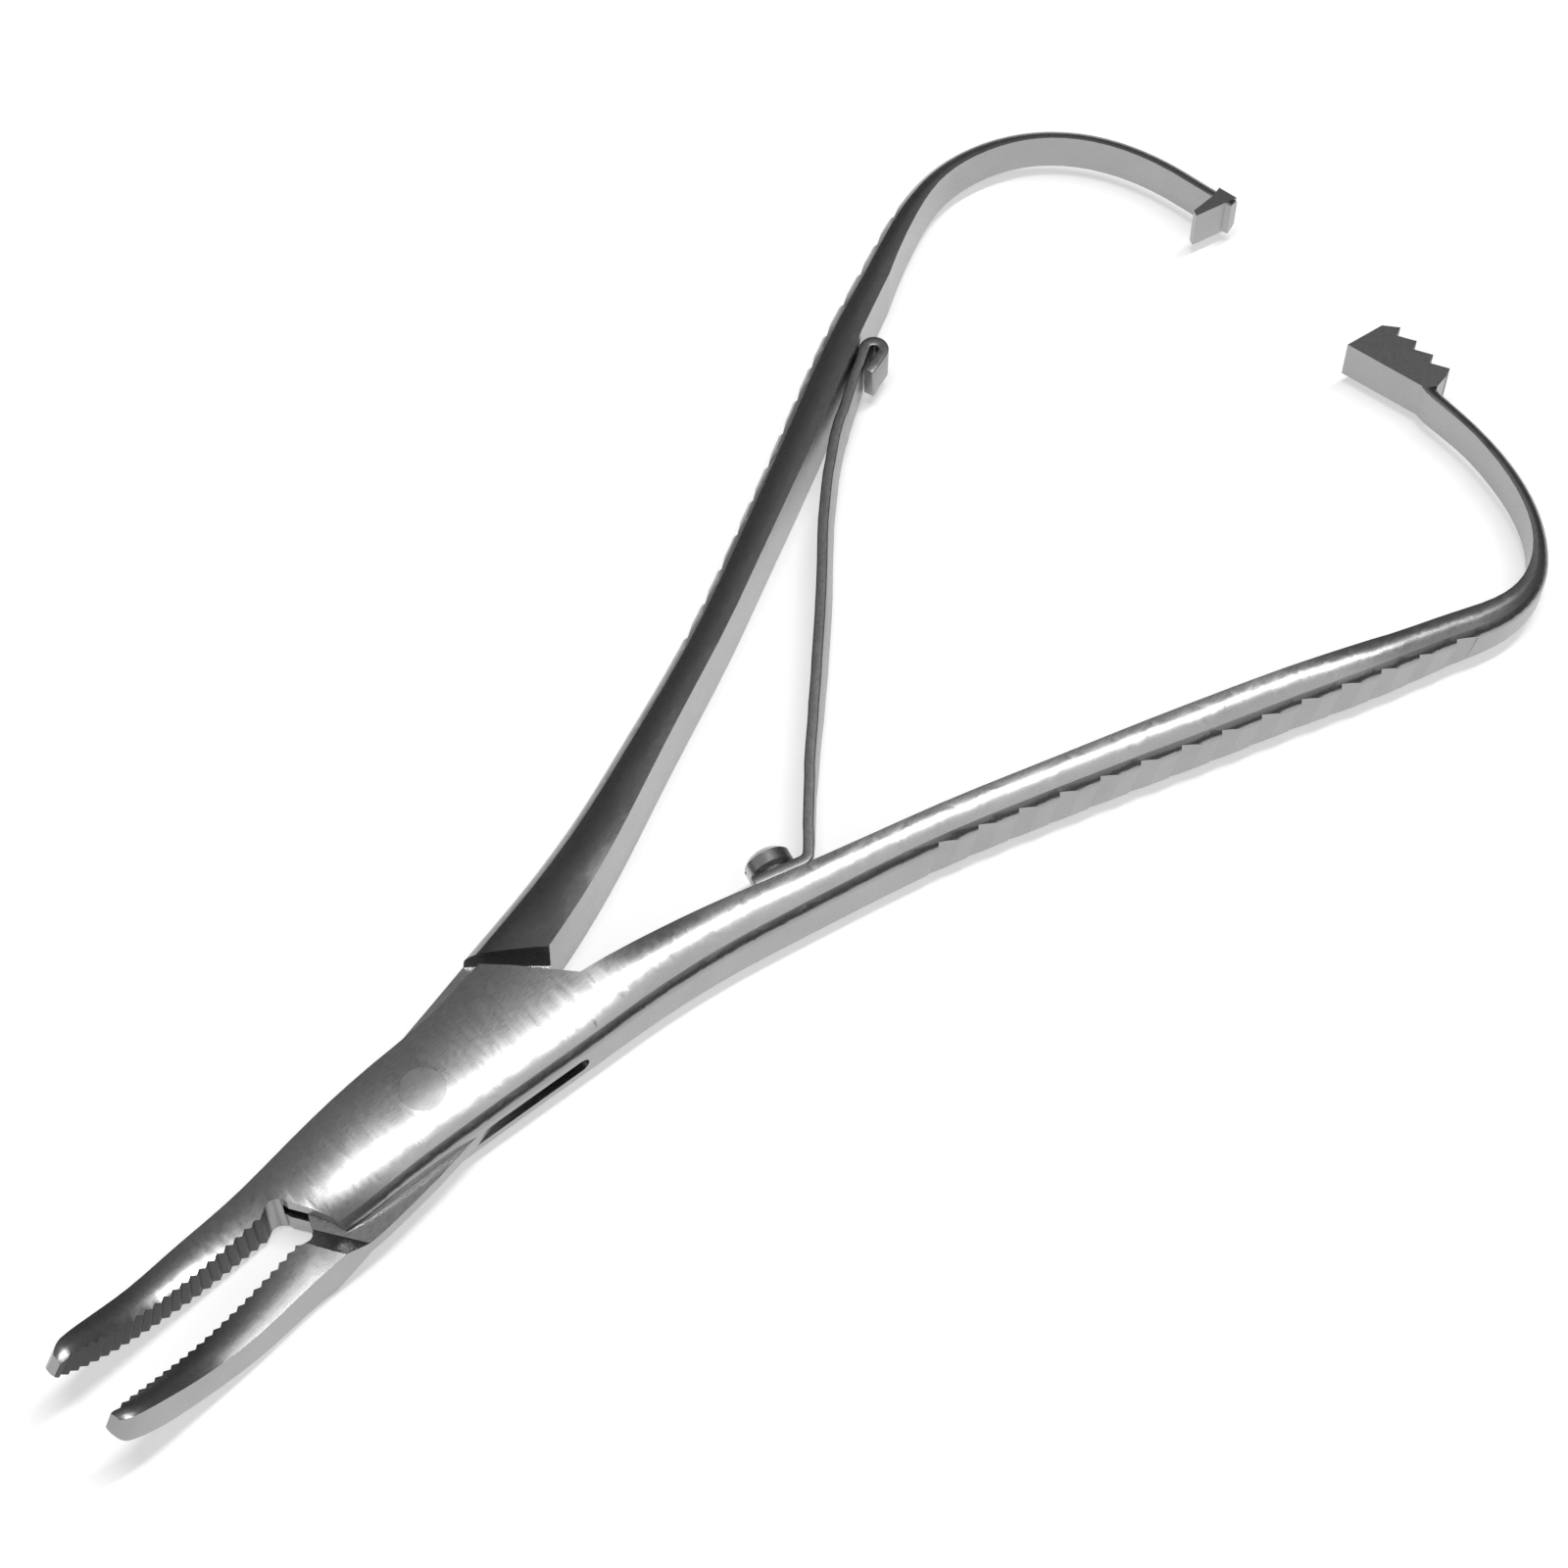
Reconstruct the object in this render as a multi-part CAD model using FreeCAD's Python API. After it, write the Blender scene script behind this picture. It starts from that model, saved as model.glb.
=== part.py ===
"""Mathieu needle holder, lying open: two arms crossing in a box lock, a pin, a leaf spring and its screw.

Millimetres. The origin is on the pin's axis at the underside of the box, +Y runs to the hooks, +Z is up.
Each arm is drawn in its own closed position with the jaw on -X and the handle on +X;
the inner arm is the mirror of that drawing. Both are then turned apart by half the opening.
"""
import math
import os

import FreeCAD
import Part

V = FreeCAD.Vector

# Box lock
BOX_HEIGHT = 7.0
MID = BOX_HEIGHT / 2
WAIST_THICK = 1.5
SLOT_GAP = 0.05
PIN_DIA = 3.6
PIN_GAP = 0.03
HALF_OPEN = 4.6
THROAT_RADIUS = 0.95

# Section of the arms: crowned top and bottom, rounded shoulders, flat sides
CROWN_TILT = 30.0
CROWN_REACH = 1.6
CROWN_DIP = 0.3
SHOULDER = 0.7

# Jaws
JAW_ROOT = -13.2
JAW_TIP = -34.0
JAW_BEND_START = -20.0
JAW_RISE = 4.6
JAW_DROP_MID = 2.9
ROOT_GAP = 0.55
TIP_GAP = 0.03
TOOTH_PITCH = 0.9
TOOTH_DEPTH = 0.28

# Grips and hooks
GRIP_MARGIN = 0.8
GROOVES = 14
GROOVE_START = 43.8
GROOVE_PITCH = 3.38
GROOVE_WIDTH = 2.1
GROOVE_DEPTH = 0.35
GROOVE_SLANT = 12.5
STRIP_HEIGHT = 4.0
BLOCK_HEIGHT = 4.1
RATCHET_TEETH = 4
RATCHET_PITCH = 1.9
RATCHET_DEPTH = 0.85

# Spring and screw
PAD_HEIGHT = 0.6
PAD_WIDTH = 3.8
SCREW_AT = 32.5
FOOT_REACH = 2.1
SPRING_THICK = 0.9
SPRING_HEIGHT = 3.4
BEND_RADIUS = 1.0
RUN_HEADING = 32.0
CURL_AT = 75.4
CURL_RADIUS = 0.8
CURL_TURN = 194.0
TAIL_LENGTH = 2.2
HEAD_DIA = 3.9
HEAD_HEIGHT = 1.9
HEAD_BEVEL = 0.45
SHANK_DIA = 1.8
SHANK_LENGTH = 3.2
SCREW_GAP = 0.02
SLOT_WIDTH = 0.55
SLOT_DEPTH = 0.8

# Across the jaw and the box: y, edge towards the jaw side, edge towards the handle side
BOX_RIBS = [
    (-27.0, -2.5, 1.0),
    (-21.5, -3.1, 1.6),
    (-16.0, -3.3, 3.0),
    (-10.5, -3.6, 4.35),
    (-5.0, -3.95, 4.6),
    (0.0, -4.2, 4.75),
    (6.0, -4.6, 5.05),
    (12.0, -5.0, 5.4),
]
# Along the handle's outer side: x, y, width, height
HANDLE = [
    (5.8, 19.0, 4.7, 6.9),
    (6.7, 26.0, 4.0, 6.8),
    (7.9, 32.0, 3.5, 6.7),
    (9.4, 39.0, 3.1, 6.6),
    (11.2, 46.0, 3.0, 6.5),
    (13.4, 53.0, 3.0, 6.5),
    (15.7, 60.0, 3.1, 6.5),
    (18.1, 67.0, 3.2, 6.5),
    (20.4, 74.0, 3.1, 6.4),
]
# Bow of the spring's run: share of its length, distance off the straight line
RUN_BOW = [(0.165, 0.56), (0.334, 0.78), (0.5, 1.11), (0.663, 1.65), (0.804, 1.54), (0.892, 0.89)]
# The two hooks bend differently: the one with the ratchet is wider and lower
RATCHET_HOOK = [
    (22.8, 81.0, 2.9, 6.0),
    (24.9, 88.0, 2.5, 5.2),
    (26.1, 93.0, 2.2, 4.6),
    (25.4, 96.9, 1.8, 4.2),
    (22.9, 100.0, 1.25, 4.0),
    (19.0, 102.4, 1.05, 4.0),
    (14.3, 103.8, 1.0, 4.0),
    (9.5, 104.3, 1.0, 4.0),
    (5.0, 104.6, 1.0, 4.0),
]
CLAW_HOOK = [
    (22.3, 81.5, 2.7, 6.0),
    (23.9, 88.5, 2.0, 5.2),
    (24.1, 94.0, 1.45, 4.5),
    (22.8, 98.6, 1.25, 4.1),
    (20.2, 102.4, 1.05, 4.0),
    (16.6, 105.2, 1.0, 4.0),
    (12.2, 106.9, 1.0, 4.0),
    (7.2, 107.5, 1.0, 4.0),
    (1.6, 107.7, 1.0, 4.0),
]


def jaw_mid(y):
    """Height of the jaw's middle: level at the root, then rising to the tip."""
    reach = max(0.0, JAW_BEND_START - y) / (JAW_BEND_START - JAW_TIP)
    level = MID + (JAW_DROP_MID - MID) * min(1.0, max(0.0, (-6.0 - y) / 8.0))
    return level + JAW_RISE * reach ** 2


def jaw_slope(y):
    """Angle of the jaw's length against level, in radians."""
    reach = max(0.0, JAW_BEND_START - y)
    return math.atan(2 * JAW_RISE * reach / (JAW_BEND_START - JAW_TIP) ** 2)


def jaw_height(y):
    """Height of the jaw's section: the box's full height at the root, slender at the tip."""
    share = min(1.0, max(0.0, (y - JAW_TIP) / (-9.0 - JAW_TIP)))
    return 3.2 + (5.4 - 3.2) * share + (BOX_HEIGHT - 5.4) * min(1.0, max(0.0, (y + 15.0) / 7.0))


def ring(middle, heading, slope, half_width, half_height):
    """Closed section standing across a path that runs along the heading: flat sides, crowned top and bottom."""
    across = V(math.cos(heading), math.sin(heading), 0)
    along = V(-math.sin(heading), math.cos(heading), 0)
    up = V(0, 0, math.cos(slope)) + along * math.sin(slope)
    tilt = math.radians(CROWN_TILT)
    radius = min(SHOULDER, half_width / 2)
    width = 2 * half_width - radius
    reach = min(CROWN_REACH, 0.35 * width)
    drop = reach * math.sin(tilt) + 0.03 * width + 0.1
    dip = min(CROWN_DIP, 0.1 * width)
    top = half_height
    edge = half_width - radius
    crown = [(-half_width, top - dip), (-half_width + 0.4 * width, top)]
    crown += [(edge - reach * math.cos(tilt), top - drop + reach * math.sin(tilt)), (edge, top - drop)]
    corner = top - drop - radius * math.tan(tilt)
    rounding = [crown[-1], (half_width, corner), (half_width, corner - radius * 0.7)]
    edges = []
    for side in (1, -1):
        for poles in (crown, rounding):
            curve = Part.BezierCurve()
            curve.setPoles([middle + across * u + up * w * side for u, w in poles[::side]])
            edges.append(curve.toShape())
    top_crown, top_round, low_crown, low_round = edges
    last, first = low_round.valueAt(low_round.FirstParameter), top_round.valueAt(top_round.LastParameter)
    side_line = Part.makeLine(first, last)
    inner_line = Part.makeLine(low_crown.valueAt(low_crown.LastParameter), top_crown.valueAt(top_crown.FirstParameter))
    return Part.Wire([top_crown, top_round, side_line, low_round, low_crown, inner_line])


def headings(points):
    """Direction of travel at every point of an open path, as turns from +Y."""
    result = []
    for i in range(len(points)):
        before = points[max(0, i - 1)]
        after = points[min(len(points) - 1, i + 1)]
        result.append(math.atan2(-(after.x - before.x), after.y - before.y))
    return result


def arm_blank(hook, jaw_flank):
    """Crowned body of one whole arm from the jaw's tip through the box to the hook's end."""
    rings = []
    for y, left, right in ((JAW_TIP, -0.9, 0.5), (JAW_TIP + 0.35, -1.35, 0.7), (JAW_TIP + 1.4, -1.75, 0.8)):
        slim = 0.55 if y == JAW_TIP else 0.8 if y < JAW_TIP + 1 else 1.0
        middle = V((left + right) / 2, y, jaw_mid(y))
        rings.append(ring(middle, 0, jaw_slope(y), (right - left) / 2, jaw_height(y) / 2 * slim))
    for y, left, right in BOX_RIBS:
        left -= jaw_flank * max(0.0, min(1.0, (y + 18.0) / 7.0))
        middle = V((left + right) / 2, y, jaw_mid(y))
        rings.append(ring(middle, 0, jaw_slope(y), (right - left) / 2, jaw_height(y) / 2))
    rows = HANDLE + hook
    outer = [V(x, y, MID) for x, y, _, _ in rows]
    turns = headings(outer)
    for (_, y, width, height), point, turn in zip(rows, outer, turns):
        spare = GRIP_MARGIN if y < 80 else 0.0
        half = (width + spare) / 2
        inward = V(-math.cos(turn), -math.sin(turn), 0)
        rings.append(ring(point + inward * half, turn, 0, half, height / 2))
    return Part.makeLoft(rings, True, False)


def inner_side(hook):
    """Curve of the handle's flat inner side, from the box to the start of the hook."""
    rows = HANDLE + hook[:2]
    outer = [V(x, y, 0) for x, y, _, _ in rows]
    turns = headings(outer)
    points = [V(0.45, 15.2, 0)]
    for (_, _, width, _), point, turn in zip(rows, outer, turns):
        points.append(point - V(math.cos(turn), math.sin(turn), 0) * width)
    curve = Part.BSplineCurve()
    curve.interpolate(Points=points)
    return curve, points[-1]


def prism(edges, low=-2.0, high=14.0):
    """Upright block over a closed outline."""
    face = Part.Face(Part.Wire(Part.__sortEdges__(edges)))
    face.translate(V(0, 0, low))
    return face.extrude(V(0, 0, high - low))


def lines(*points):
    """Straight edges through plan points."""
    corners = [V(x, y, 0) for x, y in points]
    return [Part.makeLine(a, b) for a, b in zip(corners, corners[1:])]


def outline(hook, front, rear):
    """Plan of one arm: toothed face, front edge of the box, outside, hook, inner side, rear edge of the box."""
    curve, last = inner_side(hook)
    face_line = [(-8, -38), (-TIP_GAP, -38), (-TIP_GAP, -29.0), (-ROOT_GAP, JAW_ROOT)]
    outside = [front[-1], (12, -8), (32, 60), (32, 112), (-8, 112), (-8, 98), (last.x - 3, last.y + 3), (last.x, last.y)]
    edges = lines(*face_line) + lines(face_line[-1], *front) + lines(*outside)
    edges.append(curve.toShape())
    edges += lines((0.45, 15.2), *rear) + lines(rear[-1], face_line[0])
    return prism(edges)


def point_at(curve, y):
    """Point of a rising curve at a given y."""
    low, high = curve.FirstParameter, curve.LastParameter
    for _ in range(40):
        half = (low + high) / 2
        if curve.value(half).y < y:
            low = half
        else:
            high = half
    return curve.value(low), curve.tangent(low)[0]


def grip_grooves(hook):
    """Row of shallow slanted grooves across the handle's outer side, steep on the side towards the jaws."""
    curve = Part.BSplineCurve()
    curve.interpolate(Points=[V(x, y, 0) for x, y, _, _ in HANDLE + hook[:3]])
    cutters = []
    for k in range(GROOVES):
        point, tangent = point_at(curve, GROOVE_START + k * GROOVE_PITCH)
        outward = V(tangent.y, -tangent.x, 0)
        axis = V(0, 0, 1) + tangent * math.tan(math.radians(GROOVE_SLANT))
        foot = point + V(0, 0, MID) - axis * 5
        wall = [(-0.45, 0.6), (-0.37, -GROOVE_DEPTH), (0.0, -0.6 * GROOVE_DEPTH), (0.55, 0.02), (0.55, 0.6)]
        corners = [foot + tangent * along * GROOVE_WIDTH + outward * out for along, out in wall]
        cutters.append(Part.Face(Part.makePolygon(corners + corners[:1])).extrude(axis * 10))
    return Part.makeCompound(cutters)


def jaw_teeth(shift):
    """Row of V cuts across the toothed face, each square to the jaw's rising length."""
    cutters = []
    y = JAW_ROOT - 0.8 - shift
    while y > JAW_TIP + 0.5:
        reach = (y - -29.0) / (JAW_ROOT - -29.0)
        face_x = -TIP_GAP if y < -29.0 else -TIP_GAP - (ROOT_GAP - TIP_GAP) * reach
        half = TOOTH_PITCH / 2 * 0.98
        corners = [V(-TOOTH_DEPTH, 0, -4), V(0, half, -4), V(0.6, half, -4), V(0.6, -half, -4), V(0, -half, -4)]
        cutter = Part.Face(Part.makePolygon(corners + corners[:1])).extrude(V(0, 0, 8))
        cutter.rotate(V(0, 0, 0), V(1, 0, 0), -math.degrees(jaw_slope(y)))
        cutter.translate(V(face_x, y, jaw_mid(y)))
        cutters.append(cutter)
        y -= TOOTH_PITCH * math.cos(jaw_slope(y))
    return Part.makeCompound(cutters)


def slab(points, low, high):
    """Upright block over a polygon."""
    corners = [V(x, y, low) for x, y in points]
    return Part.Face(Part.makePolygon(corners + corners[:1])).extrude(V(0, 0, high - low))


def ledge(start, end, slope, side):
    """Block above or below the waist that ends in a sloping wall along a plan line, its inside on the left."""
    along = (end - start).normalize()
    inward = V(-along.y, along.x, 0)
    low = V(0, 0, MID + side * WAIST_THICK / 2)
    high = low + V(0, 0, side * 6)
    lean = 6 / math.tan(math.radians(slope))
    foot = start - along * 30
    corners = [foot + low, foot - inward * lean + high, foot + inward * 40 + high, foot + inward * 40 + low]
    return Part.Face(Part.makePolygon(corners + corners[:1])).extrude(along * 60)


def throat():
    """Upright relief where the toothed face meets the box."""
    return Part.makeCylinder(THROAT_RADIUS, 20, V(-0.1, JAW_ROOT - THROAT_RADIUS, -5))


def ratchet():
    """Block on the end of the outer arm's hook with four saw teeth on its back."""
    back = 106.5
    points = [(5.6, 103.5), (6.3, 104.4)]
    x = 6.1
    for _ in range(RATCHET_TEETH):
        points += [(x, back - RATCHET_DEPTH), (x - 0.35, back)]
        x -= RATCHET_PITCH
    points += [(x + 0.35, back - 1.0), (x - 0.2, 101.9)]
    return slab(points, MID - BLOCK_HEIGHT / 2, MID + BLOCK_HEIGHT / 2)


def claw():
    """Barb on the end of the inner arm's hook that catches behind the ratchet teeth."""
    points = [(1.7, 107.65), (2.0, 106.9), (3.25, 103.9), (3.75, 104.2), (3.4, 106.6), (3.5, 107.6)]
    return slab(points, MID - BLOCK_HEIGHT / 2, MID + BLOCK_HEIGHT / 2)


def outer_arm():
    """Arm with the box: two plates with the slot between them, closed frame."""
    front = [(-0.1, -13.1), (1.3, -12.2), (3.0, -11.35), (4.4, -10.95), (9, -10.9)]
    rear = [(-3.6, 11.55), (-4.4, 10.75), (-8, 7.2)]
    body = arm_blank(RATCHET_HOOK, 0.0).common(outline(RATCHET_HOOK, front, rear))
    half = WAIST_THICK / 2 + SLOT_GAP
    slot = [(9, 11.7 - half), (4.0, 11.7 - half), (4.0, 12.2), (0.45, 15.2), (-9, 24)]
    slot += [(-9, -5.8), (-4.6, -9.7), (-ROOT_GAP, -13.3), (1, -16), (9, -16)]
    body = body.cut(slab(slot, MID - half, MID + half))
    body = body.cut(Part.makeCylinder(half, 5.0, V(4.0, 11.7 - half, MID), V(1, 0, 0)))
    body = body.cut(throat())
    body = body.cut(Part.makeCylinder(PIN_DIA / 2, 20, V(0, 0, -5)))
    body = body.cut(jaw_teeth(0.0))
    body = body.cut(grip_grooves(RATCHET_HOOK))
    pad = Part.makeBox(FOOT_REACH * 2, PAD_WIDTH, PAD_HEIGHT + 1, V(-FOOT_REACH, -PAD_WIDTH / 2, -1))
    body = body.fuse(standing(pad)).fuse(ratchet())
    return body.cut(standing(screw_blank(SCREW_GAP))).removeSplitter()


def inner_arm():
    """Arm whose thin waist passes through the box, drawn on the same hand as the outer arm."""
    front = [(0.3, -12.7), (4.7, -9.2), (9, -9.0)]
    rear = [(0.0, 14.6), (-4.9, 8.0), (-4.9, -10.0), (-9, -13.0)]
    body = arm_blank(CLAW_HOOK, 0.9).common(outline(CLAW_HOOK, front, rear))
    for side in (1, -1):
        shoulder = ledge(V(-4.4, -11.15, 0), V(-0.9, -12.75, 0), 35.0, side)
        step = ledge(V(4.3, 11.3, 0), V(0.1, 14.8, 0), 80.0, side)
        body = body.cut(shoulder.common(step))
    body = body.cut(Part.makeCylinder(PIN_DIA / 2 + PIN_GAP, 20, V(0, 0, -5)))
    body = body.cut(throat())
    body = body.cut(jaw_teeth(TOOTH_PITCH / 2))
    body = body.cut(grip_grooves(CLAW_HOOK))
    return body.fuse(claw()).removeSplitter()


def foot_frame():
    """Place of the screw on the outer arm's inner side, the arm's direction there and the way off the arm."""
    curve, _ = inner_side(RATCHET_HOOK)
    place, along = point_at(curve, SCREW_AT)
    along.normalize()
    return place, along, V(-along.y, along.x, 0)


def standing(shape):
    """Turn a shape made about +Z onto the screw's axis, X running along the arm."""
    place, along, off = foot_frame()
    matrix = FreeCAD.Matrix()
    matrix.A11, matrix.A21, matrix.A31 = along
    matrix.A12, matrix.A22, matrix.A32 = V(0, 0, 1)
    matrix.A13, matrix.A23, matrix.A33 = off
    matrix.A14, matrix.A24, matrix.A34 = place + V(0, 0, MID)
    return shape.transformed(matrix)


def screw_blank(gap):
    """Shank below the foot, with a gap all round."""
    return Part.makeCylinder(SHANK_DIA / 2 + gap, SHANK_LENGTH + gap, V(0, 0, PAD_HEIGHT - SHANK_LENGTH - gap))


def screw():
    """Slotted screw: shank through the foot into the arm, broad head with both edges bevelled."""
    seat = PAD_HEIGHT + SPRING_THICK + SCREW_GAP
    head = Part.makeCylinder(HEAD_DIA / 2, HEAD_HEIGHT, V(0, 0, seat))
    shank = Part.makeCylinder(SHANK_DIA / 2, SHANK_LENGTH + SPRING_THICK + 0.5, V(0, 0, PAD_HEIGHT - SHANK_LENGTH))
    head = head.makeChamfer(HEAD_BEVEL, [e for e in head.Edges if e.Closed and e.BoundBox.ZLength < 0.01])
    slot = Part.makeBox(6, SLOT_WIDTH, SLOT_DEPTH + 1, V(-3, -SLOT_WIDTH / 2, seat + HEAD_HEIGHT - SLOT_DEPTH))
    return standing(head.fuse(shank).cut(slot).removeSplitter())


def arc_points(centre, radius, start, sweep, count):
    """Points and directions of travel along an arc, angles in degrees from +X."""
    result = []
    for k in range(count + 1):
        angle = math.radians(start + sweep * k / count)
        outward = V(math.cos(angle), math.sin(angle), 0)
        travel = V(-outward.y, outward.x, 0) * math.copysign(1, sweep)
        result.append((centre + outward * radius, travel))
    return result


def spring():
    """Leaf spring lying open: foot under the screw, bend, long run and a curl against the inner arm."""
    place, along, off = (Part.Vertex(v).rotated(V(0, 0, 0), V(0, 0, 1), -HALF_OPEN).Point for v in foot_frame())
    line = place + off * (PAD_HEIGHT + SCREW_GAP / 2 + SPRING_THICK / 2)
    foot = [(line - along * FOOT_REACH, along), (line + along * FOOT_REACH, along)]
    heading = math.degrees(math.atan2(off.y, off.x))
    sweep = RUN_HEADING - (heading - 180)
    bend = arc_points(foot[1][0] + off * BEND_RADIUS, BEND_RADIUS, heading - 180, sweep, 6)
    curve, _ = inner_side(CLAW_HOOK)
    touch, rise = point_at(curve, CURL_AT)
    touch = Part.Vertex(V(-touch.x, touch.y, 0)).rotated(V(0, 0, 0), V(0, 0, 1), HALF_OPEN).Point
    rise = Part.Vertex(V(-rise.x, rise.y, 0)).rotated(V(0, 0, 0), V(0, 0, 1), HALF_OPEN).Point
    away = V(rise.y, -rise.x, 0).normalize()
    centre = touch + away * (CURL_RADIUS + SPRING_THICK / 2 + 0.05)
    outer = math.degrees(math.atan2(away.y, away.x))
    curl = arc_points(centre, CURL_RADIUS, outer + 180, -CURL_TURN, 14)
    run = curl[0][0] - bend[-1][0]
    bow = V(-run.y, run.x, 0).normalize()
    middle = [bend[-1][0] + run * share + bow * offset for share, offset in RUN_BOW]
    path = Part.BSplineCurve()
    path.interpolate(Points=[bend[-1][0]] + middle + [curl[0][0]],
                     InitialTangent=bend[-1][1], FinalTangent=curl[0][1])
    stretch = []
    for k in range(17):
        t = path.FirstParameter + (path.LastParameter - path.FirstParameter) * k / 16
        stretch.append((path.value(t), path.tangent(t)[0]))
    end = curl[-1]
    tail = [end, (end[0] + end[1] * TAIL_LENGTH, end[1])]
    sides = []
    for side in (1, -1):
        for piece in (foot, bend, stretch, curl, tail):
            points = [p + V(-t.y, t.x, 0) * side * SPRING_THICK / 2 for p, t in piece]
            edge = Part.BSplineCurve()
            edge.interpolate(Points=points)
            sides.append(edge.toShape())
    ends = [foot[0], tail[1]]
    for p, t in ends:
        across = V(-t.y, t.x, 0) * SPRING_THICK / 2
        sides.append(Part.makeLine(p + across, p - across))
    face = Part.Face(Part.Wire(Part.__sortEdges__(sides)))
    face.translate(V(0, 0, MID - SPRING_HEIGHT / 2))
    strip = face.extrude(V(0, 0, SPRING_HEIGHT))
    hole = turned(standing(Part.makeCylinder(SHANK_DIA / 2 + SCREW_GAP, 4)), -HALF_OPEN)
    return strip.cut(hole)


def pin():
    """Pin through the box, its ends following the crowned plates."""
    return Part.makeCylinder(PIN_DIA / 2 - 0.01, 20, V(0, 0, -5)).common(arm_blank(RATCHET_HOOK, 0.0))


def turned(shape, degrees):
    """The shape turned about the pin's axis."""
    copy = shape.copy()
    copy.rotate(V(0, 0, 0), V(0, 0, 1), degrees)
    return copy


def main():
    """Build every solid in the open position and write one file for each."""
    os.makedirs("parts", exist_ok=True)
    nodes = {
        "box_arm": turned(outer_arm(), -HALF_OPEN),
        "waist_arm": turned(inner_arm().mirror(V(0, 0, 0), V(1, 0, 0)), HALF_OPEN),
        "pivot_pin": turned(pin(), -HALF_OPEN),
        "leaf_spring": spring(),
        "spring_screw": turned(screw(), -HALF_OPEN),
    }
    for name, shape in nodes.items():
        shape.exportStep("parts/" + name + ".step")


main()
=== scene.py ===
"""A box-lock needle holder lying open on a pale table.

The arms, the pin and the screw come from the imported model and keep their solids. This file dresses them
in steel, makes the leaf spring between the two handles, and sets the table, the light and the camera.
"""

import logging
import math
from dataclasses import dataclass, field
from enum import Enum

import bpy
from mathutils import Matrix, Vector


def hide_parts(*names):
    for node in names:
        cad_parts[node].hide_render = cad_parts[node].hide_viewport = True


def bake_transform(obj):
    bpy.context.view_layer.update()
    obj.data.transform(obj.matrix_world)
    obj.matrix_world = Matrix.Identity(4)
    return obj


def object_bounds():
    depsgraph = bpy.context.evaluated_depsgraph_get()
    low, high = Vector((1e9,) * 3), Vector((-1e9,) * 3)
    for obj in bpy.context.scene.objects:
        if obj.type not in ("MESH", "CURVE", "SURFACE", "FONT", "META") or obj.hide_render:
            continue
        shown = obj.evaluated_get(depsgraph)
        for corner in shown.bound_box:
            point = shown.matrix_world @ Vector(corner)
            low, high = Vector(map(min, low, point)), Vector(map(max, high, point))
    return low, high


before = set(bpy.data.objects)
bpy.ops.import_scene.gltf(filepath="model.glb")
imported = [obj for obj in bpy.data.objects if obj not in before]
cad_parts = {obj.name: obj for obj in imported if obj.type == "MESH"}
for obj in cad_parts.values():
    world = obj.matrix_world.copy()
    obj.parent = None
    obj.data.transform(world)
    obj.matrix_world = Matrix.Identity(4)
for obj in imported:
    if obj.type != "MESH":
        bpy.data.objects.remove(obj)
CAD_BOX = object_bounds()

MM = 0.001
log = logging.getLogger("needle_holder")

# The finishes: the noise's usual range, the fine marks, and the clouds of tone over them.
NOISE_RANGE = (0.3, 0.7)
FINE_DETAIL = 2.0
FINE_ROUGHNESS = 0.65
MARK_HEIGHT = 0.01 * MM
CLOUD_SCALE = 260.0
CLOUD_DETAIL = 3.0
CLOUD_TONE = 0.04

# Where the painted shade and the rougher surface of cut teeth fade into the polished metal.
TEETH_EDGE = 0.1
TEETH_FADE = 0.5 * MM
TEETH_FACING = (0.3, 0.4)
PAST_THE_HOOKS = 1.0

# Shares of the spring's foot and tail at which its middle line has points.
FOOT_SHARES = (0, 0.5, 1)
TAIL_SHARES = (0.5, 1)


def noise(
    tree: bpy.types.NodeTree, place: bpy.types.NodeSocket,
    scale: float, detail: float, roughness: float = 0.5,
) -> bpy.types.NodeSocket:
    """Add a noise.

    Args:
        tree: The material's nodes.
        place: Socket that gives the place on the surface.
        scale: Scale of the noise.
        detail: Number of finer layers in it.
        roughness: Weight of the finer layers.

    Returns:
        Socket that gives the noise.
    """
    node = tree.nodes.new("ShaderNodeTexNoise")
    node.inputs["Scale"].default_value = scale
    node.inputs["Detail"].default_value = detail
    node.inputs["Roughness"].default_value = roughness
    tree.links.new(place, node.inputs["Vector"])
    return node.outputs["Fac"]


def ranged(
    tree: bpy.types.NodeTree, source: bpy.types.NodeSocket,
    start: float, end: float, low: float = 0.0, high: float = 1.0,
) -> bpy.types.NodeSocket:
    """Turn a value that runs from start to end into one that runs from low to high, and no further.

    Args:
        tree: The nodes of a material or the world.
        source: Socket that gives the value.
        start: Value that becomes the low one.
        end: Value that becomes the high one.
        low: The low value.
        high: The high value.

    Returns:
        Socket that gives the new value.
    """
    node = tree.nodes.new("ShaderNodeMapRange")
    node.inputs["From Min"].default_value = start
    node.inputs["From Max"].default_value = end
    node.inputs["To Min"].default_value = low
    node.inputs["To Max"].default_value = high
    tree.links.new(source, node.inputs["Value"])
    return node.outputs["Result"]


def combined(
    tree: bpy.types.NodeTree, operation: str,
    first: bpy.types.NodeSocket, second: bpy.types.NodeSocket | float,
) -> bpy.types.NodeSocket:
    """Join two values in one Math node.

    Args:
        tree: The nodes of a material or the world.
        operation: The node's operation.
        first: Socket that gives the first value.
        second: Socket that gives the second value, or the value itself.

    Returns:
        Socket that gives the result.
    """
    node = tree.nodes.new("ShaderNodeMath")
    node.operation = operation
    tree.links.new(first, node.inputs[0])
    if isinstance(second, float):
        node.inputs[1].default_value = second
    else:
        tree.links.new(second, node.inputs[1])
    return node.outputs["Value"]


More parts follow.
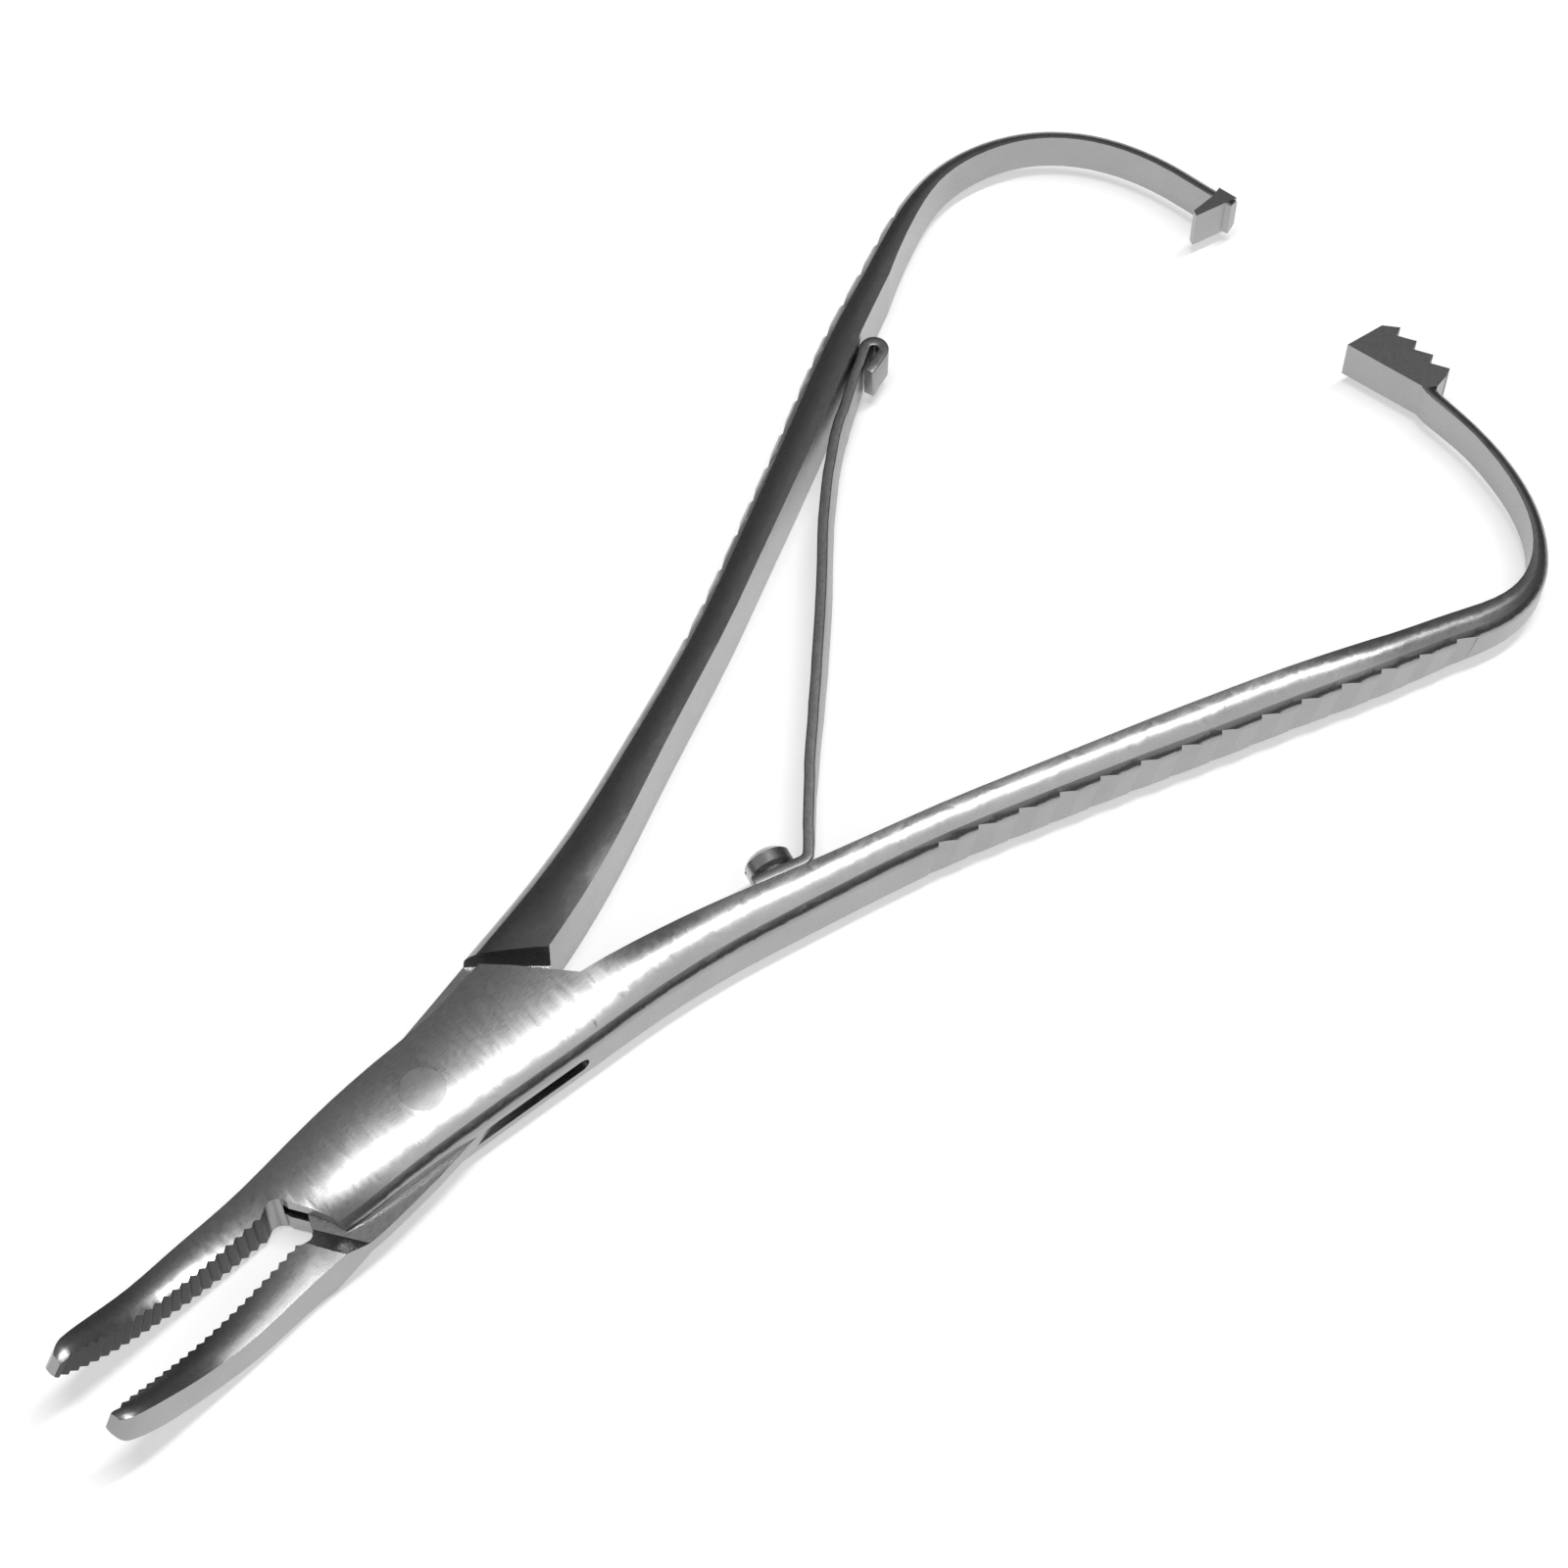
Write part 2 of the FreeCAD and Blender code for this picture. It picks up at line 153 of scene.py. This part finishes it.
class Grind(Enum):
    """How a piece was last worked, with the scale of its fine marks across, along and up the piece."""

    LENGTHWISE = (9000.0, 1500.0, 9000.0)
    ROUND = (6500.0, 6500.0, 6500.0)
    TUMBLED = (3600.0, 3600.0, 3600.0)


@dataclass(frozen=True)
class Steel:
    """One finish of stainless steel.

    Attributes:
        name: The material's name.
        color: Base colour of the metal.
        roughness: Mean roughness of the ground surface.
        spread: How far the roughness strays from its mean.
        grind: Which way the fine marks run.
        marks: Strength of the fine marks in the bump.
        heading: Direction of the marks about +Z, in degrees from +Y.
    """

    name: str
    color: tuple[float, float, float]
    roughness: float
    spread: float
    grind: Grind
    marks: float
    heading: float = 0.0

    def material(self) -> bpy.types.Material:
        """Build the finish as a node material on Object coordinates.

        Returns:
            The new material.
        """
        material = bpy.data.materials.new(self.name)
        material.use_nodes = True
        tree = material.node_tree
        shader = tree.nodes["Principled BSDF"]
        shader.inputs["Metallic"].default_value = 1.0
        coords = tree.nodes.new("ShaderNodeTexCoord")
        mapping = tree.nodes.new("ShaderNodeMapping")
        mapping.inputs["Scale"].default_value = self.grind.value
        mapping.inputs["Rotation"].default_value = (0.0, 0.0, -math.radians(self.heading))
        tree.links.new(coords.outputs["Object"], mapping.inputs["Vector"])
        fine = noise(tree, mapping.outputs["Vector"], 1.0, FINE_DETAIL, FINE_ROUGHNESS)
        cloud = noise(tree, coords.outputs["Object"], CLOUD_SCALE, CLOUD_DETAIL)
        tone = tree.nodes.new("ShaderNodeValToRGB")
        shares = (1 - CLOUD_TONE, 1 + CLOUD_TONE)
        for element, place, share in zip(tone.color_ramp.elements, NOISE_RANGE, shares):
            element.position = place
            element.color = (*(min(1.0, channel * share) for channel in self.color), 1.0)
        tree.links.new(cloud, tone.inputs["Fac"])
        tree.links.new(tone.outputs["Color"], shader.inputs["Base Color"])
        gloss = ranged(tree, fine, *NOISE_RANGE, self.roughness - self.spread, self.roughness + self.spread)
        tree.links.new(gloss, shader.inputs["Roughness"])
        bump = tree.nodes.new("ShaderNodeBump")
        bump.inputs["Strength"].default_value = self.marks
        bump.inputs["Distance"].default_value = MARK_HEIGHT
        tree.links.new(fine, bump.inputs["Height"])
        tree.links.new(bump.outputs["Normal"], shader.inputs["Normal"])
        return material


def paint(piece: bpy.types.Object, material: bpy.types.Material) -> None:
    """Put one material in all of a piece's slots.

    Args:
        piece: The object to paint.
        material: Its new material.
    """
    if not piece.material_slots:
        piece.data.materials.append(material)
    for slot in piece.material_slots:
        slot.material = material
    log.info("%s dressed in %s", piece.name, material.name)


def select_only(piece: bpy.types.Object) -> None:
    """Deselect everything, then select the piece and make it active.

    Args:
        piece: The object to select.
    """
    bpy.ops.object.select_all(action="DESELECT")
    piece.select_set(True)
    bpy.context.view_layer.objects.active = piece


@dataclass(frozen=True)
class Teeth:
    """One row of cut teeth, with painted shade over its toothed face and the rougher surface that the cutter
    leaves.

    Attributes:
        normal: Direction that the toothed face looks in, in the open position.
        offset: Distance of the face's outermost line from the pivot's axis along that direction.
        depth: Depth below that line that the painted shade and the rougher surface reach.
        root: Highest place along +Y that the teeth reach.
        shade: Share of the polished metal's brightness that is kept where shade is painted on the teeth.
        roughness: Roughness of the cut teeth's surface.
    """

    normal: tuple[float, float]
    offset: float
    depth: float = 1.0 * MM
    root: float = -13.4 * MM
    shade: float = 0.25
    roughness: float = 0.5

    def shade_and_roughen(self, material: bpy.types.Material) -> None:
        """Paint shade on the toothed face and roughen it in an arm's finish.

        Args:
            material: The arm's finish, whose colour and roughness are already linked.
        """
        tree = material.node_tree
        shader = tree.nodes["Principled BSDF"]
        coords = tree.nodes.new("ShaderNodeTexCoord")
        across = self.outward(tree, coords.outputs["Object"])
        deepest = self.offset - self.depth
        near = ranged(tree, across, deepest, deepest + self.depth * TEETH_EDGE)
        split = tree.nodes.new("ShaderNodeSeparateXYZ")
        tree.links.new(coords.outputs["Object"], split.inputs["Vector"])
        below = ranged(tree, split.outputs["Y"], self.root, self.root - TEETH_FADE)
        facing = ranged(tree, self.outward(tree, coords.outputs["Normal"]), *TEETH_FACING)
        mask = combined(tree, "MULTIPLY", combined(tree, "MULTIPLY", near, below), facing)
        # Painted shade: the colour under the mask is multiplied down by the shade share, in place of the
        # shade among the teeth.
        tone = tree.nodes.new("ShaderNodeMix")
        tone.data_type = "RGBA"
        tone.blend_type = "MULTIPLY"
        tone.inputs["B"].default_value = (self.shade, self.shade, self.shade, 1.0)
        tree.links.new(mask, tone.inputs["Factor"])
        tree.links.new(shader.inputs["Base Color"].links[0].from_socket, tone.inputs["A"])
        tree.links.new(tone.outputs["Result"], shader.inputs["Base Color"])
        gloss = tree.nodes.new("ShaderNodeMix")
        gloss.inputs["B"].default_value = self.roughness
        tree.links.new(mask, gloss.inputs["Factor"])
        tree.links.new(shader.inputs["Roughness"].links[0].from_socket, gloss.inputs["A"])
        tree.links.new(gloss.outputs["Result"], shader.inputs["Roughness"])

    def outward(self, tree: bpy.types.NodeTree, vector: bpy.types.NodeSocket) -> bpy.types.NodeSocket:
        """Measure a vector along the direction that the teeth look in.

        Args:
            tree: The material's nodes.
            vector: Socket that gives the vector.

        Returns:
            Socket that gives its length along that direction.
        """
        node = tree.nodes.new("ShaderNodeVectorMath")
        node.operation = "DOT_PRODUCT"
        node.inputs[1].default_value = (*self.normal, 0.0)
        tree.links.new(vector, node.inputs[0])
        return node.outputs["Value"]


@dataclass
class Arms:
    """The two arms and the pin, which keep their solids.

    Attributes:
        boxed: Finish of the outer arm.
        waisted: Finish of the inner arm.
        flush: Finish of the pin's ends.
        box_teeth: Teeth of the outer arm's jaw.
        waist_teeth: Teeth of the inner arm's jaw.
        ratchet: Teeth of the outer arm's ratchet block.
    """

    boxed: Steel = Steel(
        "box_arm_satin_steel", (0.36, 0.36, 0.364), 0.29, 0.03, Grind.LENGTHWISE, marks=0.07, heading=-14.0
    )
    waisted: Steel = Steel(
        "waist_arm_satin_steel", (0.36, 0.36, 0.364), 0.29, 0.03, Grind.LENGTHWISE, marks=0.07, heading=14.0
    )
    flush: Steel = Steel(
        "pin_satin_steel", (0.33, 0.33, 0.334), 0.3, 0.03, Grind.LENGTHWISE, marks=0.07, heading=5.0
    )
    # Painted shade on both jaws' toothed faces and in the throat between them.
    box_teeth: Teeth = Teeth((0.9968, -0.0802), -0.03 * MM)
    waist_teeth: Teeth = Teeth((-0.9968, -0.0802), -0.03 * MM)
    # Painted shade on the ratchet block's teeth.
    ratchet: Teeth = Teeth((0.0802, 0.9968), 106.5 * MM, depth=1.1 * MM, root=PAST_THE_HOOKS, shade=0.35)

    def dress(self) -> None:
        """Give the arms and the flush pin their ground finish, and paint shade on their teeth and roughen
        them.
        """
        for node, steel, rows in (
            ("box_arm", self.boxed, (self.box_teeth, self.ratchet)),
            ("waist_arm", self.waisted, (self.waist_teeth,)),
            ("pivot_pin", self.flush, ()),
        ):
            material = steel.material()
            for teeth in rows:
                teeth.shade_and_roughen(material)
            paint(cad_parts[node], material)


@dataclass
class Screw:
    """The slotted screw that holds the spring's foot, which keeps its solid.

    Attributes:
        turned: Finish of the screw.
    """

    turned: Steel = Steel("screw_turned_steel", (0.52, 0.52, 0.525), 0.32, 0.06, Grind.ROUND, marks=0.3)

    def dress(self) -> None:
        """Give the screw its turned finish."""
        paint(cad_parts["spring_screw"], self.turned.material())


@dataclass
class Spring:
    """The leaf spring: a foot under the screw, a tight bend, a long bowed run and a curl at the inner arm.

    Attributes:
        matt: Finish of the strip.
        thick: Thickness of the strip.
        tall: Height of the strip.
        middle: Height of the strip's middle line above the table's plane.
        foot_start: Free end of the foot, on the strip's middle line.
        foot_along: Direction of the foot, in degrees from +X.
        foot_length: Length of the foot up to the bend.
        hole_at: Distance of the screw's hole from the foot's free end.
        hole_radius: Radius of the screw's hole.
        hole_sides: Number of sides of the hole.
        bend_radius: Radius of the bend's middle line.
        bend_turn: Turn of the bend in degrees.
        bend_steps: Number of steps round the bend.
        bow: Share of the run's length and distance off its straight line.
        bow_steps: Number of steps between two places of the bow.
        curl_centre: Centre of the curl.
        curl_radius: Radius of the curl's middle line.
        curl_start: Angle of the curl's first point about its centre, in degrees.
        curl_turn: Turn of the curl in degrees.
        curl_steps: Number of steps round the curl.
        tail: Length of the straight tail after the curl.
        lean: How far the run's top edge stands out to the left of its bottom edge.
        lean_steps: Number of steps in which the lean comes and goes.
        edge: Width of the tumbled edges.
        edge_steps: Number of facets across a tumbled edge.
        sharp: Least turn between two faces that tumbling rounds, in degrees.
        smooth: Least turn between two faces that still shows as an edge, in degrees.
        weld: Distance under which points of the sweep are merged.
    """

    matt: Steel = Steel("spring_matt_steel", (0.31, 0.31, 0.315), 0.36, 0.06, Grind.TUMBLED, marks=0.35)
    thick: float = 0.9 * MM
    tall: float = 3.4 * MM
    middle: float = 3.5 * MM
    foot_start: tuple[float, float] = (5.275 * MM, 30.447 * MM)
    foot_along: float = 69.451
    foot_length: float = 4.2 * MM
    hole_at: float = 2.1 * MM
    hole_radius: float = 0.92 * MM
    hole_sides: int = 40
    bend_radius: float = 1.0 * MM
    bend_turn: float = 52.549
    bend_steps: int = 8
    bow: tuple[tuple[float, float], ...] = (
        (0.165, 0.56 * MM), (0.334, 0.78 * MM), (0.5, 1.11 * MM),
        (0.663, 1.65 * MM), (0.804, 1.54 * MM), (0.892, 0.89 * MM),
    )
    bow_steps: int = 6
    curl_centre: tuple[float, float] = (-22.386 * MM, 74.243 * MM)
    curl_radius: float = 0.8 * MM
    curl_start: float = 202.477
    curl_turn: float = -194.0
    curl_steps: int = 20
    tail: float = 2.2 * MM
    lean: float = 0.5 * MM
    lean_steps: int = 10
    edge: float = 0.13 * MM
    edge_steps: int = 3
    sharp: float = 50.0
    smooth: float = 40.0
    weld: float = 0.001 * MM

    def route(self) -> list[Vector]:
        """Lay out the strip's middle line.

        Returns:
            Points from the foot's free end to the tail's end.
        """
        angle = math.radians(self.foot_along)
        along = Vector((math.cos(angle), math.sin(angle)))
        off = Vector((-along.y, along.x))
        start = Vector(self.foot_start)
        foot = [start + along * self.foot_length * share for share in FOOT_SHARES]
        bend_centre = foot[-1] + off * self.bend_radius
        bend = self.arc(bend_centre, self.bend_radius, self.foot_along - 90, self.bend_turn, self.bend_steps)
        curl = self.arc(
            Vector(self.curl_centre), self.curl_radius, self.curl_start, self.curl_turn, self.curl_steps
        )
        last = curl[-1] - curl[-2]
        tail = [curl[-1] + last.normalized() * self.tail * share for share in TAIL_SHARES]
        return foot + bend[1:] + self.run(bend, curl) + curl + tail

    def arc(self, centre: Vector, radius: float, start: float, turn: float, count: int) -> list[Vector]:
        """Set points round an arc.

        Args:
            centre: Centre of the arc.
            radius: Its radius.
            start: Angle of the first point, in degrees.
            turn: Angle swept, in degrees.
            count: Number of steps.

        Returns:
            The points, the first and last among them.
        """
        angles = [math.radians(start + turn * step / count) for step in range(count + 1)]
        return [centre + Vector((math.cos(a), math.sin(a))) * radius for a in angles]

    def run(self, bend: list[Vector], curl: list[Vector]) -> list[Vector]:
        """Draw the bowed run as a smooth curve between the bend and the curl.

        Args:
            bend: Points of the bend.
            curl: Points of the curl.

        Returns:
            Points strictly between the two.
        """
        chord = curl[0] - bend[-1]
        left = Vector((-chord.y, chord.x)).normalized()
        knots = [bend[-2], bend[-1]]
        knots += [bend[-1] + chord * share + left * offset for share, offset in self.bow]
        knots += [curl[0], curl[1]]
        points = []
        for before, start, end, after in zip(knots, knots[1:], knots[2:], knots[3:]):
            span = (end - start).length
            leave = (end - before).normalized() * span
            arrive = (after - start).normalized() * span
            for step in range(1, self.bow_steps + 1):
                t = step / self.bow_steps
                points.append(
                    start * (2 * t**3 - 3 * t**2 + 1) + leave * (t**3 - 2 * t**2 + t)
                    + end * (3 * t**2 - 2 * t**3) + arrive * (t**3 - t**2)
                )
        return points[:-1]

    def build(self) -> bpy.types.Object:
        """Sweep the strip's section along its route, lean it, drill the foot and round the edges.

        Returns:
            The finished spring.
        """
        points = self.route()
        turns = [math.atan2((b - a).y, (b - a).x) for a, b in zip(points, points[1:])]
        bpy.ops.object.select_all(action="DESELECT")
        bpy.ops.mesh.primitive_plane_add(
            size=1.0, location=(*points[0], self.middle), rotation=(math.pi / 2, 0, turns[0] + math.pi / 2)
        )
        strip = bpy.context.object
        strip.name = "spring_strip"
        strip.scale = (self.thick, self.tall, 1.0)
        bpy.ops.object.transform_apply(location=True, rotation=True, scale=True)
        bpy.ops.object.mode_set(mode="EDIT")
        bpy.ops.mesh.select_all(action="SELECT")
        facing = turns[0]
        for index, (here, there) in enumerate(zip(points, points[1:])):
            step = there - here
            bpy.ops.mesh.extrude_region_move(TRANSFORM_OT_translate={"value": (step.x, step.y, 0.0)})
            onward = turns[min(index + 1, len(turns) - 1)]
            aim = turns[index] + self.wrapped(onward - turns[index]) / 2
            bpy.ops.transform.rotate(
                value=-self.wrapped(aim - facing), orient_axis="Z",
                center_override=(there.x, there.y, self.middle),
            )
            facing = aim
        bpy.ops.mesh.select_all(action="SELECT")
        bpy.ops.mesh.remove_doubles(threshold=self.weld)
        bpy.ops.mesh.normals_make_consistent(inside=False)
        bpy.ops.object.mode_set(mode="OBJECT")
        self.lean_run(strip, points)
        self.drill(strip)
        self.soften(strip)
        paint(strip, self.matt.material())
        return strip

    def lean_run(self, strip: bpy.types.Object, points: list[Vector]) -> None:
        """Lean the run a little, as a hand-bent strip does, its ends staying upright.

        Args:
            strip: The swept strip.
            points: The strip's middle line.
        """
        bend_end = points[len(FOOT_SHARES) - 1 + self.bend_steps]
        curl_end = points[-(self.curl_steps + 1 + len(TAIL_SHARES))]
        chord = curl_end - bend_end
        left = Vector((-chord.y, chord.x)).normalized()
        mesh = strip.data
        for sign in (1, -1):
            for step in range(1, self.lean_steps):
                low, high = (step - 0.5) / self.lean_steps, (step + 0.5) / self.lean_steps
                share = math.sin(math.pi * step / self.lean_steps)
                select_only(strip)
                for vertex in mesh.vertices:
                    along = (vertex.co.xy - bend_end).dot(chord) / chord.length_squared
                    vertex.select = low <= along < high and (vertex.co.z - self.middle) * sign > 0
                for edge in mesh.edges:
                    edge.select = False
                for face in mesh.polygons:
                    face.select = False
                bpy.ops.object.mode_set(mode="EDIT")
                shift = left * sign * self.lean / 2 * share
                bpy.ops.transform.translate(value=(shift.x, shift.y, 0.0))
                bpy.ops.object.mode_set(mode="OBJECT")

    def wrapped(self, angle: float) -> float:
        """Bring an angle into the half turn on either side of nought."""
        return (angle + math.pi) % (2 * math.pi) - math.pi

    def drill(self, strip: bpy.types.Object) -> None:
        """Cut the screw's hole through the foot.

        Args:
            strip: The swept strip.
        """
        angle = math.radians(self.foot_along)
        place = Vector(self.foot_start) + Vector((math.cos(angle), math.sin(angle))) * self.hole_at
        bpy.ops.object.select_all(action="DESELECT")
        bpy.ops.mesh.primitive_cylinder_add(
            vertices=self.hole_sides, radius=self.hole_radius, depth=self.thick * 4,
            location=(*place, self.middle), rotation=(math.pi / 2, 0, angle),
        )
        bit = bpy.context.object
        cut = strip.modifiers.new("screw_hole", "BOOLEAN")
        cut.object = bit
        cut.operation = "DIFFERENCE"
        select_only(strip)
        bpy.ops.object.modifier_apply(modifier=cut.name)
        bpy.data.objects.remove(bit)

    def soften(self, strip: bpy.types.Object) -> None:
        """Round the strip's edges as tumbling leaves them.

        Args:
            strip: The drilled strip.
        """
        select_only(strip)
        rounding = strip.modifiers.new("tumbled_edges", "BEVEL")
        rounding.width = self.edge
        rounding.segments = self.edge_steps
        rounding.limit_method = "ANGLE"
        rounding.angle_limit = math.radians(self.sharp)
        bpy.ops.object.modifier_apply(modifier=rounding.name)
        bpy.ops.object.shade_smooth_by_angle(angle=math.radians(self.smooth))

    def fit(self) -> None:
        """Build the spring and show it in place of the plain solid."""
        strip = self.build()
        start = (*self.route()[len(FOOT_SHARES) - 1], self.middle)
        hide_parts("leaf_spring")
        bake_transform(strip)
        log.info("%s fitted between the arms", strip.name)


@dataclass
class Table:
    """The pale table under the instrument.

    Attributes:
        half_width: Distance from the middle to the table's sides.
        color: Colour of the top.
        roughness: Roughness of the top.
        specular: Strength of the top's own gloss.
        lift: Light added for the eye and in reflections, which makes the top white.
    """

    half_width: float = 3000 * MM
    color: tuple[float, float, float] = (0.93, 0.93, 0.93)
    roughness: float = 0.7
    specular: float = 0.1
    lift: float = 0.42

    def build(self) -> None:
        """Lay the table's top under the instrument and paint it."""
        low = CAD_BOX[0][2]
        bpy.ops.mesh.primitive_plane_add(size=self.half_width * 2, location=(0, 0, low))
        floor = bpy.context.object
        floor.name = "table"
        material = bpy.data.materials.new("pale_table")
        material.use_nodes = True
        shader = material.node_tree.nodes["Principled BSDF"]
        shader.inputs["Base Color"].default_value = (*self.color, 1.0)
        shader.inputs["Roughness"].default_value = self.roughness
        shader.inputs["Specular IOR Level"].default_value = self.specular
        shader.inputs["Emission Color"].default_value = (1.0, 1.0, 1.0, 1.0)
        self.whiten(material.node_tree, shader)
        floor.data.materials.append(material)

    def whiten(self, tree: bpy.types.NodeTree, shader: bpy.types.ShaderNode) -> None:
        """Lift the top to white for the eye and in reflections, with no more light on the instrument.

        Args:
            tree: The table's nodes.
            shader: Its shader.
        """
        path = tree.nodes.new("ShaderNodeLightPath")
        seen = combined(tree, "MAXIMUM", path.outputs["Is Camera Ray"], path.outputs["Is Glossy Ray"])
        seen = combined(tree, "MAXIMUM", seen, path.outputs["Is Transmission Ray"])
        tree.links.new(combined(tree, "MULTIPLY", seen, self.lift), shader.inputs["Emission Strength"])


@dataclass
class Softbox:
    """One area lamp aimed at the instrument.

    Attributes:
        name: The lamp's name.
        place: Where it hangs, in metres.
        size: Its width and length, in metres.
        power: Its power, in watts.
        target: The point that it lights squarely, just behind the box lock.
    """

    name: str
    place: tuple[float, float, float]
    size: tuple[float, float]
    power: float
    target: tuple[float, float, float] = (0.0, 30 * MM, 0.0)

    def build(self) -> None:
        """Hang the lamp and turn it to its target."""
        data = bpy.data.lights.new(self.name, "AREA")
        data.shape = "RECTANGLE"
        data.size, data.size_y = self.size
        data.energy = self.power
        lamp = bpy.data.objects.new(self.name, data)
        bpy.context.scene.collection.objects.link(lamp)
        place = Vector(self.place)
        lamp.location = place
        lamp.rotation_euler = (Vector(self.target) - place).to_track_quat("-Z", "Y").to_euler()


@dataclass
class Studio:
    """A dim room with a narrow softbox overhead and a faint one beside it.

    Attributes:
        boxes: The lamps.
        horizon: Brightness of the far walls.
        zenith: Brightness of the ceiling.
        ceiling_span: Rise of the view at which the walls end and at which the ceiling is brightest.
        front: Brightness added on the wall behind the viewer.
        front_span: Reach of the view along Y at which that wall begins and at which it is brightest.
    """

    boxes: list[Softbox] = field(default_factory=lambda: [
        Softbox("overhead", (0.03, 0.14, 1.0), (0.06, 0.7), 4.6),
        Softbox("pale_wall_right", (0.52, 0.12, 0.85), (0.34, 0.6), 0.75),
    ])
    horizon: float = 0.06
    zenith: float = 0.2
    ceiling_span: tuple[float, float] = (0.4, 1.0)
    front: float = 0.32
    front_span: tuple[float, float] = (-0.1, -0.75)

    def build(self) -> None:
        """Grade the room from its dark far walls to its paler ceiling and front wall, and hang the lamps."""
        world = bpy.data.worlds.new("studio")
        bpy.context.scene.world = world
        world.use_nodes = True
        tree = world.node_tree
        back = tree.nodes["Background"]
        coords = tree.nodes.new("ShaderNodeTexCoord")
        split = tree.nodes.new("ShaderNodeSeparateXYZ")
        tree.links.new(coords.outputs["Generated"], split.inputs["Vector"])
        grade = ranged(tree, split.outputs["Z"], *self.ceiling_span, self.horizon, self.zenith)
        near = ranged(tree, split.outputs["Y"], *self.front_span, 0.0, self.front)
        tree.links.new(combined(tree, "ADD", grade, near), back.inputs["Color"])
        back.inputs["Strength"].default_value = 1.0
        for softbox in self.boxes:
            softbox.build()


@dataclass
class Camera:
    """The photograph's point of view: a long lens looking down at the open instrument.

    Attributes:
        eye: Where the camera stands.
        target: The point in the middle of its picture.
        lens: Focal length in millimetres.
        sensor: Width of the sensor in millimetres.
        nearest: Distance from which it sees, in metres.
        furthest: Distance up to which it sees, in metres.
    """

    eye: tuple[float, float, float] = (105.63 * MM, -72.19 * MM, 274.48 * MM)
    target: tuple[float, float, float] = (0.40 * MM, 39.11 * MM, 3.5 * MM)
    lens: float = 90.0
    sensor: float = 36.0
    nearest: float = 0.01
    furthest: float = 10.0

    def build(self) -> None:
        """Place the camera level with the horizon and make it the scene's own."""
        data = bpy.data.cameras.new("camera")
        data.lens = self.lens
        data.sensor_width = self.sensor
        data.clip_start = self.nearest
        data.clip_end = self.furthest
        camera = bpy.data.objects.new("camera", data)
        bpy.context.scene.collection.objects.link(camera)
        look = (Vector(self.target) - Vector(self.eye)).normalized()
        right = look.cross(Vector((0, 0, 1))).normalized()
        up = right.cross(look)
        turn = Matrix((right, up, -look)).transposed().to_4x4()
        camera.matrix_world = Matrix.Translation(self.eye) @ turn
        bpy.context.scene.camera = camera


def main() -> None:
    """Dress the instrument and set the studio."""
    bpy.context.scene.view_settings.view_transform = "Standard"
    Arms().dress()
    Screw().dress()
    Spring().fit()
    Table().build()
    Studio().build()
    Camera().build()
    log.info("finished")


if __name__ == "__main__":
    logging.basicConfig(level=logging.INFO)
    main()
